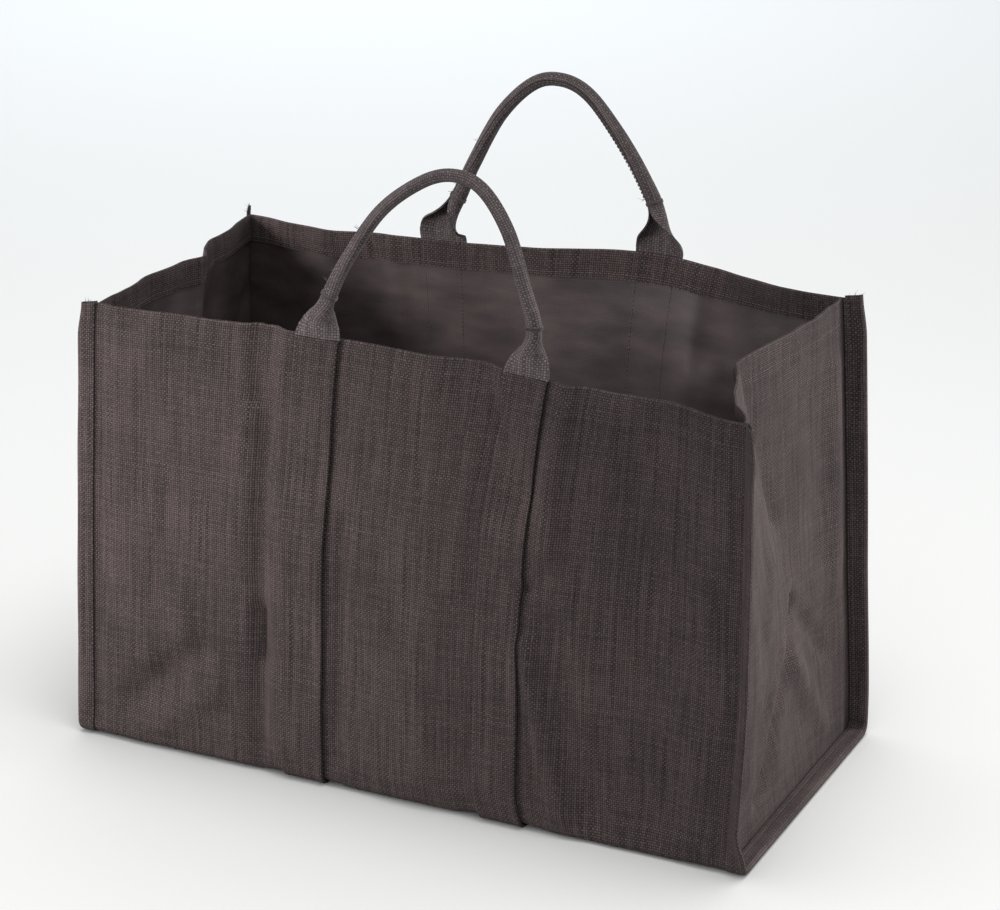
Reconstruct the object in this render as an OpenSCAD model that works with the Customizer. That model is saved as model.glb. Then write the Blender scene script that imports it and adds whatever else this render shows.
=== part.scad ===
// Log carrier: a self-standing bag of coarse woven cloth with two rolled loop handles.
// One length of cloth makes the front, the base and the back. An end panel closes each end,
// and their edges stand out past the ends together, bound with a folded tape. Two straps run
// up the front, under the base and up the back, and rise above the rim as the two handles.
// The front faces -Y, the ends face -X and +X, and the origin is on the floor under the middle.

/* [Bag] */
// Outside length of the bag, between the faces of its end panels
bag_length = 600; // [420:10:900]
// Outside depth of the bag, from front to back
bag_depth = 300; // [200:10:480]
// Height of the rim above the floor
bag_height = 400; // [240:10:600]
// Thickness of the laminated cloth
cloth_t = 2; // [1:0.1:3]
// Depth of the hem that is turned in at the rim
hem_depth = 25; // [20:1:60]

/* [Bound seams] */
// Width of the cloth edges that stand out past each end panel
seam_allowance = 16; // [10:1:25]
// Thickness of the binding tape
tape_t = 1; // [0.5:0.1:1.5]
// Gap between the end panel and the tape
tape_setback = 1; // [0.5:0.1:3]

/* [Straps] */
// Width of a strap
strap_w = 40; // [28:1:60]
// Thickness of a strap, folded and sewn
strap_t = 3; // [2:0.5:5]
// Distance between the middle lines of the two straps
strap_pitch = 185; // [150:5:220]

/* [Handles] */
// Height of the grip's middle line above the rim, at its top
handle_rise = 160; // [125:5:240]
// Radius of the grip's middle line across its top
handle_top_r = 65; // [45:1:70]
// Height over which the flat strap folds in to make the round grip
flare_h = 45; // [25:1:60]
// Diameter of the rope inside the grip
core_d = 9; // [6:0.5:12]
// Thickness of the cloth rolled around the rope
sleeve_t = 2; // [1:0.5:3]
// Clearance between the rope and the cloth around it
core_fit = 0.1; // [0.05:0.05:0.5]
// Clearance between the rim and a handle's lower edge when the handle leans in
bend_gap = 1; // [0.5:0.5:3]

/* [Stitching] */
// Width of a row of stitches
thread_w = 0.8; // [0.5:0.1:1.2]
// Height that a row of stitches stands proud of the cloth
thread_t = 0.4; // [0.2:0.1:0.5]
// Distance between a row of stitches and the edge that it holds down
stitch_inset = 4; // [3:0.5:6]
// Length of the bar tack that ties each end of a grip
tack_h = 4; // [2:0.5:8]

/* [Hidden] */
$fn = 64;
ROUND_STEPS = 20;         // sides of the round grip
SIDE_STEPS = 4;           // stations along each upright side of the arch
TOP_STEPS = 12;           // stations across the top of the arch
cut_over = 1;             // how far a cutting shape runs past the solid it cuts
half_length = bag_length / 2;
half_depth = bag_depth / 2;
base_z = strap_t;         // the base lies on the straps that pass under it
seam_end = half_length + seam_allowance;
tape_start = half_length + tape_setback;
tape_end = seam_end + tape_t;
hem_z = bag_height - hem_depth;
hem_row_z = hem_z + stitch_inset;
strap_x = strap_pitch / 2;
strap_face = half_depth + strap_t;

grip_r = core_d / 2 + core_fit + sleeve_t;
handle_z = bag_height + strap_t + bend_gap; // height of the fold line that a handle swings about
handle_y = strap_face - grip_r;             // the grip's outer side is level with the strap's face
arch_rise = handle_rise - strap_t - bend_gap;
// Radius of the arch's two sides, which stand upright on the straps and meet its top arc smoothly
side_r = (strap_x * strap_x + arch_rise * arch_rise - 2 * arch_rise * handle_top_r)
    / (2 * (strap_x - handle_top_r));
join_angle = atan2(arch_rise - handle_top_r, side_r - strap_x);
flare_angle = asin(flare_h / side_r);
side_step = (join_angle - flare_angle) / SIDE_STEPS;     // turn between two stations along a side
side_chord = 2 * side_r * sin(side_step / 2);
tack_start = thread_w;                                   // the tack begins just past the flare
row_start = tack_start + tack_h + thread_w;              // and the seam's row begins just past the tack

cloth_colour = [0.31, 0.27, 0.27];
end_colour = [0.37, 0.33, 0.33];
tape_colour = [0.27, 0.23, 0.24];
strap_colour = [0.34, 0.29, 0.29];
thread_colour = [0.22, 0.19, 0.19];
rope_colour = [0.62, 0.54, 0.42];

// ---- Shared shapes ----

// A wall that runs down the front, across the base and up the back, between two places along X
module u_wall(outer_y, outer_z, wall, x0, x1, top = bag_height) {
    translate([x0, 0, 0]) rotate([90, 0, 90]) linear_extrude(x1 - x0) difference() {
        translate([-outer_y, outer_z]) square([2 * outer_y, top - outer_z]);
        translate([wall - outer_y, outer_z + wall]) square([2 * (outer_y - wall), top]);
    }
}

// Mirrors a piece drawn for the right end (+X) to the left end
module at_end(side) {
    if (side < 0) mirror([1, 0, 0]) children(); else children();
}

// Mirrors a piece drawn for the front (-Y) to the back
module at_face(side) {
    if (side > 0) mirror([0, 1, 0]) children(); else children();
}

// ---- Bag ----

// Front, base and back in one length, with the edges that stand out past both ends
module body_panel() {
    color(cloth_colour) {
        u_wall(half_depth, base_z, cloth_t, -seam_end, seam_end);
        for (side = [-1, 1]) at_face(side)
            translate([cloth_t - half_length, cloth_t - half_depth, hem_z])
                cube([2 * (half_length - cloth_t), cloth_t, hem_depth]);
    }
}

// An end panel, with edges turned outward against those of the body panel
module end_panel(side) {
    span = 2 * (half_depth - cloth_t);
    hem_span = 2 * (half_depth - 2 * cloth_t);
    bottom = base_z + cloth_t;
    color(end_colour) at_end(side) {
        translate([half_length - cloth_t, -span / 2, bottom])
            cube([cloth_t, span, bag_height - bottom]);
        u_wall(half_depth - cloth_t, bottom, cloth_t, half_length, seam_end);
        translate([half_length - 2 * cloth_t, -hem_span / 2, hem_z])
            cube([cloth_t, hem_span, hem_depth]);
    }
}
module left_end_panel() { end_panel(-1); }
module right_end_panel() { end_panel(1); }

// Tape folded over the two edges, down one corner, along the base and up the other corner
module binding(side) {
    edges = 2 * cloth_t;
    color(tape_colour) at_end(side) difference() {
        u_wall(half_depth + tape_t, base_z - tape_t, edges + 2 * tape_t, tape_start, tape_end);
        u_wall(half_depth, base_z, edges, tape_start - cut_over, seam_end, bag_height + cut_over);
    }
}
module left_binding() { binding(-1); }
module right_binding() { binding(1); }

// A strap up the front, under the base and up the back
module strap(side) {
    middle = side * strap_x;
    color(strap_colour)
        u_wall(strap_face, 0, strap_t, middle - strap_w / 2, middle + strap_w / 2);
}
module left_strap() { strap(-1); }
module right_strap() { strap(1); }

// ---- Stitching ----

// Two rows along a strap, on its outside and on the inside of the cloth it is sewn to
module strap_stitching(side) {
    row_x = strap_w / 2 - stitch_inset;
    inner_face = half_depth - cloth_t;
    hem_face = half_depth - 2 * cloth_t;
    hem_start = hem_row_z + thread_w;
    top = bag_height - stitch_inset;
    color(thread_colour) for (row = [-1, 1]) {
        x = side * strap_x + row * row_x - thread_w / 2;
        u_wall(inner_face, base_z + cloth_t, thread_t, x, x + thread_w, hem_z);
        for (face = [-1, 1]) at_face(face) {
            translate([x, -strap_face - thread_t, strap_t])
                cube([thread_w, thread_t, top - strap_t]);
            translate([x, -hem_face, hem_start]) cube([thread_w, thread_t, top - hem_start]);
        }
    }
}
module left_strap_stitching() { strap_stitching(-1); }
module right_strap_stitching() { strap_stitching(1); }

// The row that holds the hem of the front and the back, hidden outside where a strap covers it
module body_hem_stitching() {
    strap_inner = strap_x - strap_w / 2;
    strap_outer = strap_x + strap_w / 2;
    inside_span = 2 * (half_length - 3 * cloth_t);
    color(thread_colour) for (face = [-1, 1]) at_face(face) {
        for (run = [[-half_length, -strap_outer], [-strap_inner, strap_inner], [strap_outer, half_length]])
            translate([run[0], -half_depth - thread_t, hem_row_z])
                cube([run[1] - run[0], thread_t, thread_w]);
        translate([-inside_span / 2, 2 * cloth_t - half_depth, hem_row_z])
            cube([inside_span, thread_t, thread_w]);
    }
}

// The row that holds the hem of an end panel
module end_hem_stitching(side) {
    span = 2 * (half_depth - 3 * cloth_t);
    color(thread_colour) at_end(side) for (x = [half_length - 2 * cloth_t - thread_t, half_length])
        translate([x, -span / 2, hem_row_z]) cube([thread_t, span, thread_w]);
}
module left_end_hem_stitching() { end_hem_stitching(-1); }
module right_end_hem_stitching() { end_hem_stitching(1); }

// The row through a binding tape, seen on both of its faces
module binding_stitching(side) {
    x = tape_start + stitch_inset;
    inner_y = half_depth - 2 * cloth_t - tape_t;
    inner_z = base_z + 2 * cloth_t + tape_t;
    color(thread_colour) at_end(side) {
        u_wall(half_depth + tape_t + thread_t, base_z - tape_t - thread_t, thread_t, x, x + thread_w);
        u_wall(inner_y, inner_z, thread_t, x, x + thread_w);
    }
}
module left_binding_stitching() { binding_stitching(-1); }
module right_binding_stitching() { binding_stitching(1); }

// ---- Handles ----
// A handle swings about a line along X at height handle_z, just outside the strap's outer face.

// Points of a circle, as [outward from the arch, across it]
function round_profile(r) = [for (k = [0 : ROUND_STEPS - 1])
    [r * cos(360 * k / ROUND_STEPS), r * sin(360 * k / ROUND_STEPS)]];

// Stations along the arch from the right flare to the left one, each [x, y, angle of its outward side]
arch_stations = concat(
    [for (i = [0 : SIDE_STEPS - 1]) let (t = flare_angle + side_step * i)
        [strap_x - side_r + side_r * cos(t), side_r * sin(t), t]],
    [for (i = [0 : TOP_STEPS]) let (t = join_angle + (180 - 2 * join_angle) * i / TOP_STEPS)
        [handle_top_r * cos(t), arch_rise - handle_top_r + handle_top_r * sin(t), t]],
    [for (i = [1 : SIDE_STEPS]) let (t = join_angle - side_step * i)
        [side_r - strap_x - side_r * cos(t), side_r * sin(t), 180 - t]]
);
RINGS = len(arch_stations);

// A profile carried to every station, one ring of points after another
function swept_points(profile) = [for (s = arch_stations, p = profile)
    [s[0] + p[0] * cos(s[2]), s[1] + p[0] * sin(s[2]), p[1]]];

// The same with its first and last rings moved a distance along the arch, so that it starts past the tacks
function shortened(points, count, distance) = let (share = distance / side_chord, n = len(points))
    [for (i = [0 : n - 1]) i < count ? points[i] + (points[i + count] - points[i]) * share
        : i >= n - count ? points[i] + (points[i - count] - points[i]) * share : points[i]];

// The four-sided faces between the rings, in a list of rings that starts at a given point
function swept_faces(count, rings, first) = [for (i = [0 : rings - 2], k = [0 : count - 1])
    let (a = first + i * count, j = (k + 1) % count) [a + k, a + j, a + count + j, a + count + k]];

function reversed(list) = [for (i = [len(list) - 1 : -1 : 0]) list[i]];

// Puts a drawing of the arch, made in X and Y on the fold line, upright in its place
module in_arch(side) {
    at_face(side) translate([0, -handle_y, handle_z]) rotate([90, 0, 0]) children();
}

// A solid bar along the arch, which starts and ends a distance inside the arch's own ends
module arch_bar(profile, inset = 0) {
    count = len(profile);
    last = (RINGS - 1) * count;
    polyhedron(shortened(swept_points(profile), count, inset), concat(
        [reversed([for (k = [0 : count - 1]) k])],
        swept_faces(count, RINGS, 0),
        [[for (k = [0 : count - 1]) last + k]]
    ));
}

// A round tube along the arch, open at both ends
module arch_tube(outer_r, inner_r) {
    inner = RINGS * ROUND_STEPS;
    last = (RINGS - 1) * ROUND_STEPS;
    polyhedron(
        concat(swept_points(round_profile(outer_r)), swept_points(round_profile(inner_r))),
        concat(
            swept_faces(ROUND_STEPS, RINGS, 0),
            [for (face = swept_faces(ROUND_STEPS, RINGS, inner)) reversed(face)],
            [for (k = [0 : ROUND_STEPS - 1]) let (j = (k + 1) % ROUND_STEPS) [k, inner + k, inner + j, j]],
            [for (k = [0 : ROUND_STEPS - 1]) let (j = (k + 1) % ROUND_STEPS)
                [last + k, last + j, inner + last + j, inner + last + k]]
        )
    );
}

// Where the flat strap narrows and thickens into the end of the round grip
module handle_flare(side, end) {
    end_t = 0.1;
    color(strap_colour) in_arch(side) at_end(end) hull() {
        translate([strap_x - strap_w / 2, 0, grip_r - strap_t]) cube([strap_w, end_t, strap_t]);
        translate([strap_x - side_r, 0, 0]) rotate([0, 0, flare_angle]) translate([side_r, 0, 0])
            rotate([90, 0, 0]) cylinder(h = end_t, r = grip_r, $fn = ROUND_STEPS);
    }
}
module front_handle_left_flare() { handle_flare(-1, -1); }
module front_handle_right_flare() { handle_flare(-1, 1); }
module back_handle_left_flare() { handle_flare(1, -1); }
module back_handle_right_flare() { handle_flare(1, 1); }

// The strap rolled around the rope between the two flares
module handle_sleeve(side) {
    color(strap_colour) in_arch(side) arch_tube(grip_r, grip_r - sleeve_t);
}
module front_handle_sleeve() { handle_sleeve(-1); }
module back_handle_sleeve() { handle_sleeve(1); }

// The rope that fills the grip
module handle_core(side) {
    color(rope_colour) in_arch(side) arch_bar(round_profile(core_d / 2));
}
module front_handle_core() { handle_core(-1); }
module back_handle_core() { handle_core(1); }

// The row that closes the rolled cloth, along the inner side of the arch
module handle_seam_stitching(side) {
    row = [[-grip_r - thread_t, -thread_w / 2], [-grip_r, -thread_w / 2],
           [-grip_r, thread_w / 2], [-grip_r - thread_t, thread_w / 2]];
    color(thread_colour) in_arch(side) arch_bar(row, row_start);
}
module front_handle_seam_stitching() { handle_seam_stitching(-1); }
module back_handle_seam_stitching() { handle_seam_stitching(1); }

// The thread wound around each end of a grip, square to the first straight of the sleeve
module handle_bar_tacks(side) {
    color(thread_colour) in_arch(side) for (end = [-1, 1]) at_end(end)
        translate([strap_x - side_r, 0, 0]) rotate([0, 0, flare_angle]) translate([side_r, 0, 0])
            rotate([0, 0, side_step / 2]) rotate([-90, 0, 0]) translate([0, 0, tack_start]) difference() {
                cylinder(h = tack_h, r = grip_r + thread_t);
                translate([0, 0, -cut_over]) cylinder(h = tack_h + 2 * cut_over, r = grip_r);
            }
}
module front_handle_bar_tacks() { handle_bar_tacks(-1); }
module back_handle_bar_tacks() { handle_bar_tacks(1); }

body_panel();
left_end_panel();
right_end_panel();
left_binding();
right_binding();
left_strap();
right_strap();
left_strap_stitching();
right_strap_stitching();
body_hem_stitching();
left_end_hem_stitching();
right_end_hem_stitching();
left_binding_stitching();
right_binding_stitching();
front_handle_left_flare();
front_handle_right_flare();
front_handle_sleeve();
front_handle_core();
front_handle_seam_stitching();
front_handle_bar_tacks();
back_handle_left_flare();
back_handle_right_flare();
back_handle_sleeve();
back_handle_core();
back_handle_seam_stitching();
back_handle_bar_tacks();
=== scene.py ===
# A log carrier: a self-standing bag of coarse woven cloth with two rolled loop handles.
# Its front faces -Y and its ends face -X and +X. All places are in metres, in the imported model's frame.
import math
import random

import bpy
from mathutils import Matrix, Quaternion, Vector, noise


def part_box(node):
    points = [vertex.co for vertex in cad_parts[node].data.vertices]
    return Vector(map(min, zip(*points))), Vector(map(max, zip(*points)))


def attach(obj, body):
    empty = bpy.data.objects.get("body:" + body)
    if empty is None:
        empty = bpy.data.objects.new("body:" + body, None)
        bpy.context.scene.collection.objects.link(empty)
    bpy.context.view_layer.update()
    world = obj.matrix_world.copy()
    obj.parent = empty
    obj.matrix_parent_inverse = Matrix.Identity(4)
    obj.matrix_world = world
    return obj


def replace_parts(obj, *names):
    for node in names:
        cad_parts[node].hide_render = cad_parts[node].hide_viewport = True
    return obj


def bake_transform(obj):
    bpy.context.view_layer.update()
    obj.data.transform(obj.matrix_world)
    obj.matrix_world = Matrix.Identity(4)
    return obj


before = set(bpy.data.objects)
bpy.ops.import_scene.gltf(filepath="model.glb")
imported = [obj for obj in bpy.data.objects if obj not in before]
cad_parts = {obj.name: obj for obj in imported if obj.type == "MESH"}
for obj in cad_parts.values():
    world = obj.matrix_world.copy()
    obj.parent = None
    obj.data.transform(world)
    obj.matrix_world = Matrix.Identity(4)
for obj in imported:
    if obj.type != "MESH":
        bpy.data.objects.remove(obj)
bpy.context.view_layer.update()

# ---- The view ----
# A plain pale studio floor in soft light from the upper left and from the right. The bag is seen
# with a long lens, from above its front right corner.
MM = 0.001
CAMERA_AT = Vector((0.9816, -2.2139, 1.2066))
CAMERA_FACING = Vector((-0.37072, 0.85517, -0.36228))
CAMERA_ROLL = math.radians(0.95)
LENS_MM = 108.8
FLOOR_SIZE = 16
FLOOR_COLOUR = (0.9, 0.9, 0.885, 1)
FLOOR_ROUGHNESS = 0.7
ROOM_COLOUR = (0.955, 0.966, 0.975, 1)
ROOM_STRENGTH = 0.86

bpy.ops.object.select_all(action="DESELECT")
bpy.ops.object.camera_add(location=CAMERA_AT)
camera = bpy.context.object
camera.name = "camera"
camera.data.lens = LENS_MM
camera.rotation_mode = "QUATERNION"
camera.rotation_quaternion = CAMERA_FACING.to_track_quat("-Z", "Y") @ Quaternion((0, 0, 1), CAMERA_ROLL)
bpy.context.scene.camera = camera
bpy.context.scene.view_settings.view_transform = "Standard"


def soft_light(name, place, aimed_at, size, spread, power, colour):
    """A soft box of the studio, aimed at a point, with a grid that keeps its light within some degrees."""
    bpy.ops.object.light_add(type="AREA", location=place)
    light = bpy.context.object
    light.name = name
    light.rotation_euler = (Vector(aimed_at) - Vector(place)).to_track_quat("-Z", "Y").to_euler()
    light.data.shape = "DISK"
    light.data.size = size
    light.data.spread = math.radians(spread)
    light.data.energy = power
    light.data.color = colour
    return light


left_box = soft_light("left_softbox", place=(-1.15, -1.1, 0.75), aimed_at=(-0.36, -0.15, 0.27),
                      size=0.6, spread=38, power=2.6, colour=(1, 0.975, 0.95))
right_box = soft_light("right_softbox", place=(1.3, 0.85, 0.75), aimed_at=(0.32, 0, 0.22),
                       size=0.45, spread=42, power=2.1, colour=(1, 0.98, 0.96))
soft_light("top_softbox", place=(0.3, -0.2, 2.4), aimed_at=(0.1, -0.2, 0),
           size=1.4, spread=120, power=10, colour=(1, 1, 0.985))
soft_light("back_softbox", place=(-1.5, 2.9, 2.2), aimed_at=(-1.7, 2.9, 0),
           size=2, spread=110, power=8.8, colour=(0.7, 0.84, 1))

world = bpy.data.worlds.new("studio")
bpy.context.scene.world = world
world.use_nodes = True
room_light = world.node_tree.nodes["Background"]
room_light.inputs["Color"].default_value = ROOM_COLOUR
room_light.inputs["Strength"].default_value = ROOM_STRENGTH

bpy.ops.mesh.primitive_plane_add(size=FLOOR_SIZE)
floor = bpy.context.object
floor.name = "studio_floor"
paper = bpy.data.materials.new("floor_paper")
paper.use_nodes = True
paper_finish = paper.node_tree.nodes["Principled BSDF"]
paper_finish.inputs["Base Color"].default_value = FLOOR_COLOUR
paper_finish.inputs["Roughness"].default_value = FLOOR_ROUGHNESS
floor.data.materials.append(paper)

# The two low boxes light the bag only, so that they leave no bright patch on the floor
off_the_floor = bpy.data.collections.new("kept_off_the_floor")
off_the_floor.objects.link(floor)
off_the_floor.collection_objects[0].light_linking.link_state = "EXCLUDE"
for box in (left_box, right_box):
    box.light_linking.receiver_collection = off_the_floor

# ---- The body cloth ----
# One length of coarse plain-woven cloth, laminated on its inside, makes the front, the base and the
# back. Its rims are turned in and sewn down, and its long edges stand out past the two end panels.
body_low, body_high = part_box("body_panel")
strap_low, strap_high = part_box("right_strap")
hem_low, hem_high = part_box("right_end_hem_stitching")
CLOTH_T = 2 * MM
SEAM = 16 * MM                        # what stands out past an end panel
CORNER_R = 10 * MM                    # the soft edge where a wall turns into the base
CELL = 5 * MM                         # spacing of the mesh along a cloth
BELOW_HEM_ROW = 4.4 * MM              # from the row of stitches down to the hem's raw edge
seam_end = body_high.x
half_length = seam_end - SEAM
half_depth = body_high.y
base_z = body_low.z
rim_z = body_high.z
hem_row_z = (hem_low.z + hem_high.z) / 2
hem_z = hem_row_z - BELOW_HEM_ROW
strap_x = (strap_low.x + strap_high.x) / 2
strap_half = (strap_high.x - strap_low.x) / 2


def smooth(value):
    """0 below 0, 1 above 1, and a soft S between them."""
    value = min(max(value, 0), 1)
    return value * value * (3 - 2 * value)


def hump(value, middle, width):
    """1 at the middle, falling softly to nothing about two widths away from it."""
    return math.exp(-((value - middle) / width) ** 2)


def crease(a, b, line):
    """How deep a soft crease is at a point. Its line has two ends, a width and a depth, in millimetres."""
    a0, b0, a1, b1, width, depth = (value * MM for value in line)
    run, rise = a1 - a0, b1 - b0
    share = min(max(((a - a0) * run + (b - b0) * rise) / (run * run + rise * rise), 0), 1)
    away = math.hypot(a - a0 - run * share, b - b0 - rise * share)
    return depth * hump(away, 0, width)


def crumple(a, b, size, seed):
    """Small unevenness of a slack cloth, from -1 to 1."""
    return noise.noise(Vector((a / size, b / size, seed)))


# Creases of the walls as (across, up, across, up, width, depth) in millimetres: a positive depth is
# pushed in. Each wall's depths are multiplied by how slack its cloth is.
FRONT_CREASES = (
    (-133, 0, -136, 405, 9, 4.5), (-134, 150, -130, 112, 9, 2.6), (-267, 40, -195, 103, 13, 3.2),
    (-250, 10, -178, 68, 12, -1.8), (-215, 150, -190, 60, 14, -2), (41, 397, 95, 303, 20, 4.5),
    (56, 392, 76, 350, 6, 1.8), (62, 372, 94, 328, 5, 1.5), (131, 262, 129, 402, 11, -4.5),
    (100, 236, 116, 221, 6, 1.8), (116, 221, 132, 236, 6, 1.6), (116, 174, 152, 10, 9, -3.5),
    (142, 190, 176, 20, 14, 3), (218, 40, 222, 360, 48, 6), (-56, 250, -60, 30, 7, 2),
    (-150, 400, -146, 340, 6, 4), (10, 30, 30, 250, 40, -4),
)
BACK_CREASES = (
    (-190, 395, -240, 250, 26, 7), (-40, 380, -10, 60, 34, -5), (150, 300, 190, 60, 16, 5),
    (60, 200, 120, 40, 14, 4), (-130, 10, -136, 390, 9, 3), (136, 10, 133, 390, 9, 3),
    (-260, 60, -200, 130, 15, 5), (230, 350, 245, 120, 24, 4),
)
RIGHT_CREASES = (
    (34, 166, -60, 84, 9, 2), (34, 166, 104, 90, 9, 2), (34, 166, 20, 126, 7, 2.4),
    (20, 126, -70, 30, 10, 3.5), (20, 126, 84, 34, 12, -3), (122, 150, 130, 345, 12, -3),
    (96, 190, 84, 330, 22, 1.6), (-30, 390, 10, 250, 10, 3), (-96, 330, -108, 70, 18, -3),
    (-20, 230, -90, 130, 13, -3), (-60, 330, -20, 290, 9, 2),
)
LEFT_CREASES = (
    (15, 402, 4, 300, 15, 8), (-60, 402, -50, 330, 26, -3), (60, 402, 66, 340, 16, -3),
    (0, 160, -80, 50, 12, 4), (0, 160, 80, 60, 12, 4), (-110, 340, -100, 80, 16, 3),
)
FRONT_SLACK, RIGHT_SLACK, LEFT_SLACK = 1.7, 1.7, 1.4
# How far each top corner leans, as (x, y, z) in millimetres
CORNER_LEAN = {(-1, -1): (9, 10, 1), (1, -1): (-5, -9, -4.5), (1, 1): (-24, 2, 4), (-1, 1): (0, 1, 1)}
# How each bound corner seam turns from straight sideways towards the back, in degrees, and how far
# its tip lifts, in millimetres
SEAM_TURN = {(-1, -1): (4, -2), (1, -1): (-50, 1), (1, 1): (14, 2), (-1, 1): (56, 3)}


def front_push(x, z):
    """How far the front is pushed in."""
    east, up = x / half_length, z / rim_z
    belly = -5 * MM * math.sin(math.pi * min(up, 1)) * (1 - east * east)
    slack_rim = 9 * MM * (1 - east * east) * up ** 3
    ripple = 1.8 * MM * crumple(x, z * 0.25, 26 * MM, 3) + 3.5 * MM * crumple(x, z, 85 * MM, 5)
    return belly + slack_rim + ripple + FRONT_SLACK * sum(crease(x, z, line) for line in FRONT_CREASES)


def back_bulge(x):
    """Where the back's rim bulges out and up, around its right strap."""
    return hump(x, 86 * MM, 95 * MM)


def back_push(x, z):
    """How far the back is pushed in."""
    east, up = x / half_length, z / rim_z
    belly = -4 * MM * math.sin(math.pi * min(up, 1)) * (1 - east * east)
    rim = -13 * MM * back_bulge(x) * up ** 3
    rim += 9 * MM * hump(x, -225 * MM, 60 * MM) * up ** 3
    ripple = 1.4 * MM * crumple(x, z * 0.3, 30 * MM, 13) + 2.6 * MM * crumple(x, z, 90 * MM, 15)
    return belly + rim + ripple + sum(crease(x, z, line) for line in BACK_CREASES)


def gusset_push(y, z, node, rim, bend):
    """How far an end folds in: a valley runs from the rim down to a node, where the creases start. The
    node is (along, up, depth), the rim is the valley's (along, depth) there, and bend curves its sides."""
    (node_y, node_z, node_depth), (rim_y, rim_depth) = node, rim
    up = max(z - node_z, 0) / (rim_z - node_z)
    valley_y = node_y + (rim_y - node_y) * min(up, 1.1)
    depth = node_depth + (rim_depth - node_depth) * up
    front_share = max((y + half_depth) / (valley_y + half_depth), 0)
    back_share = max((half_depth - y) / (half_depth - valley_y), 0)
    front_share = min(front_share, 1.3) ** (1 + (bend[0] - 1) * up)
    back_share = min(back_share, 1.3) ** (1 + (bend[1] - 1) * up)
    planes = (depth * front_share, depth * back_share, node_depth * z / node_z + 26 * MM * up)
    softness = 2.2 * MM
    return -softness * math.log(sum(math.exp(-plane / softness) for plane in planes))


def right_push(y, z):
    """How far the right end is pushed in."""
    node, rim = (34 * MM, 166 * MM, 17 * MM), (-20 * MM, 43 * MM)
    fold = gusset_push(y, z, node, rim, bend=(0.72, 1.25))
    ripple = 2 * MM * crumple(y, z, 42 * MM, 23) + 0.8 * MM * crumple(y, z, 16 * MM, 24)
    return fold + ripple + RIGHT_SLACK * sum(crease(y, z, line) for line in RIGHT_CREASES)


def left_push(y, z):
    """How far the left end is pushed in."""
    node, rim = (0, 160 * MM, 6 * MM), (12 * MM, 11 * MM)
    fold = gusset_push(y, z, node, rim, bend=(1, 1))
    ripple = 1.8 * MM * crumple(y, z, 50 * MM, 33) + 0.8 * MM * crumple(y, z, 18 * MM, 34)
    return fold + ripple + LEFT_SLACK * sum(crease(y, z, line) for line in LEFT_CREASES)


def settle(point):
    """Where a point of the newly sewn bag goes once the bag stands, slack and a little twisted."""
    x, y, z = point
    east, north = min(max(x / half_length, -1), 1), min(max(y / half_depth, -1), 1)
    up = min(max(z / rim_z, 0), 1)
    move = Vector((0, 0, 0))
    for (side, face), lean in CORNER_LEAN.items():
        move += Vector(lean) * MM * (1 + side * east) * (1 + face * north) / 4 * up ** 1.3
    # Each wall's own moves fade out away from it, and they stop at the base and at the corner seams
    near_wall = 20 * MM
    fade = 45 * MM
    foot = smooth(z / (32 * MM))
    off_ends = smooth((half_length - abs(x)) / (55 * MM))
    off_faces = smooth((half_depth - abs(y)) / (40 * MM))
    off_corners = smooth((280 * MM - abs(x)) / (150 * MM))
    at_front = smooth((fade + near_wall - half_depth - y) / fade)
    at_back = smooth((fade + near_wall - half_depth + y) / fade)
    at_right = smooth((fade + near_wall - half_length + x) / fade)
    at_left = smooth((fade + near_wall - half_length - x) / fade)
    level = min(z, rim_z)
    # The cloth dips beside the front corner seams, less at the right, and its rim leans to the right
    groove = (1.6 if x > 0 else 4) * MM * hump(abs(x), half_length - 5 * MM, 9 * MM)
    if at_front:
        move.y += (front_push(x, level) * off_ends + groove) * at_front * foot
        move.z += 6 * MM * (1 - east * east) * up ** 4 * at_front
        rim_shear = (11 + 11.5 * east) * MM * up ** 3
        foot_shear = -5 * MM * (1 - up ** 3) * smooth(x / (90 * MM)) * foot
        move.x += (rim_shear + foot_shear) * at_front * off_corners
    if at_back:
        move.y -= back_push(x, level) * at_back * foot * off_ends
        move.z += 12 * MM * back_bulge(x) * up ** 4 * at_back
        move.x += (10 + 41 * east) * MM * up ** 3 * at_back * off_corners
    if at_right:
        move.x -= right_push(y, level) * at_right * foot * off_faces
    if at_left:
        move.x += left_push(y, level) * at_left * foot * off_faces
    # The bound seams turn about their roots
    beyond = abs(x) - half_length
    if beyond > 0:
        side, face = (1 if x > 0 else -1), (1 if y > 0 else -1)
        turn, lift = SEAM_TURN[side, face]
        at_corner = smooth((abs(y) - (half_depth - 28 * MM)) / (20 * MM)) * smooth((z - 6 * MM) / (40 * MM))
        angle = math.radians(turn + 7 * crumple(z, side, 90 * MM, face)) * at_corner
        move.y += beyond * math.sin(angle)
        move.x -= side * beyond * (1 - math.cos(angle))
        tip = smooth((z - (rim_z - 32 * MM)) / (32 * MM)) * at_corner * beyond / SEAM
        move.z += lift * MM * tip
        move.x -= side * 3 * MM * tip
    # The base sinks to the floor between the straps, and the right end's foot is set a little askew
    near_floor = 1 - smooth(z / (60 * MM))
    clear_of_straps = smooth((abs(abs(x) - strap_x) - strap_half - 2 * MM) / (26 * MM))
    near_tape = smooth((abs(x) - 250 * MM) / (30 * MM))
    sink = (2.7 - near_tape) * MM
    move.z -= sink * clear_of_straps * near_floor
    near_right = smooth((x - half_length + 130 * MM) / (110 * MM))
    move.x += (-2.5 + 5.5 * north) * MM * near_right * (1 - smooth(z / (170 * MM)))
    move.x -= 3 * MM * smooth(1 - abs(abs(x) - half_length) / (17 * MM)) * near_right * at_back * up
    return Vector(point) + move


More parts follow.
